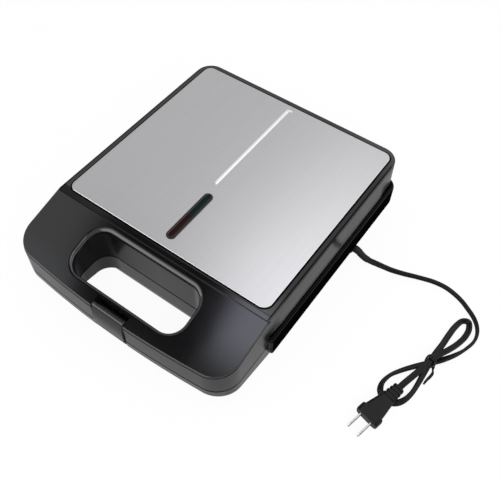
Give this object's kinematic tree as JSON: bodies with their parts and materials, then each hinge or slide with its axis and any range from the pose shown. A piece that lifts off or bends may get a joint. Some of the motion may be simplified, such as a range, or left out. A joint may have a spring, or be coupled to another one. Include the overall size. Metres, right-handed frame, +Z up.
{
  "type": "waffle maker",
  "caption": "Countertop waffle maker with a hinged steel-topped lid, heart-shaped baking cavities, a through hand grip with a front latch, and a tied power cord.",
  "frame": {"origin": "on the surface it stands on, under the middle of the body's bounding box, which leaves out the free cord and its plug", "axes": "+Y from the grip and latch towards the hinge, +X towards the side where the cord leaves, +Z up"},
  "size_m": [0.4385, 0.3474, 0.089],
  "materials": {
    "black_plastic": "satin moulded black",
    "gloss_black": "gloss black",
    "rubber": "matt",
    "cord_black": "satin flexible sheath",
    "brushed_steel": "brushed along the depth",
    "plated_steel": "zinc plated",
    "blade_metal": "nickel plated",
    "nonstick": "dark non-stick coating on cast aluminium",
    "aluminium": "mill finish",
    "heater_sheath": "oxidised sheath",
    "ceramic": "pale moulded insulator",
    "red_lens": "translucent red",
    "green_lens": "translucent dark green",
    "lamp_glass": "clear bulb"
  },
  "bodies": {
    "base": {"base_shell": "black_plastic", "foot_1": "rubber", "foot_2": "rubber", "foot_3": "rubber", "foot_4": "rubber", "cord_entry": "rubber", "lead_sleeve": "rubber", "cord_lead": "cord_black", "cord_bow": "cord_black", "cord_tail": "cord_black", "twist_tie": "cord_black", "plug_body": "cord_black", "base_screw_1": "plated_steel", "base_screw_2": "plated_steel", "base_screw_3": "plated_steel", "base_screw_4": "plated_steel", "hinge_pin_1": "plated_steel", "hinge_pin_2": "plated_steel", "plug_blade_1": "blade_metal", "plug_blade_2": "blade_metal", "lower_waffle_plate": "nonstick", "lower_reflector": "aluminium", "lower_heater": "heater_sheath", "thermostat": "ceramic", "terminal_block": "ceramic"},
    "lid": {"lid_frame": "black_plastic", "lid_top_cover": "black_plastic", "steel_panel": "brushed_steel", "indicator_bezel": "gloss_black", "red_lens": "red_lens", "green_lens": "green_lens", "lamp_holder": "ceramic", "power_lamp": "lamp_glass", "ready_lamp": "lamp_glass", "upper_waffle_plate": "nonstick", "upper_heater": "heater_sheath", "upper_reflector": "aluminium", "thermal_fuse": "aluminium", "lid_screw_1": "plated_steel", "lid_screw_2": "plated_steel", "lid_screw_3": "plated_steel", "lid_screw_4": "plated_steel", "latch_pin": "plated_steel"},
    "latch": {"latch_clip": "black_plastic"}
  },
  "joints": [
    {"name": "lid_hinge", "type": "hinge", "parent": "base", "child": "lid", "pos_m": [0, 0.16775, 0.04], "axis": [-1, 0, 0], "range_deg": [0, 105]},
    {"name": "latch_hinge", "type": "hinge", "parent": "lid", "child": "latch", "pos_m": [0, -0.16385, 0.056], "axis": [-1, 0, 0], "range_deg": [0, 20]}
  ]
}
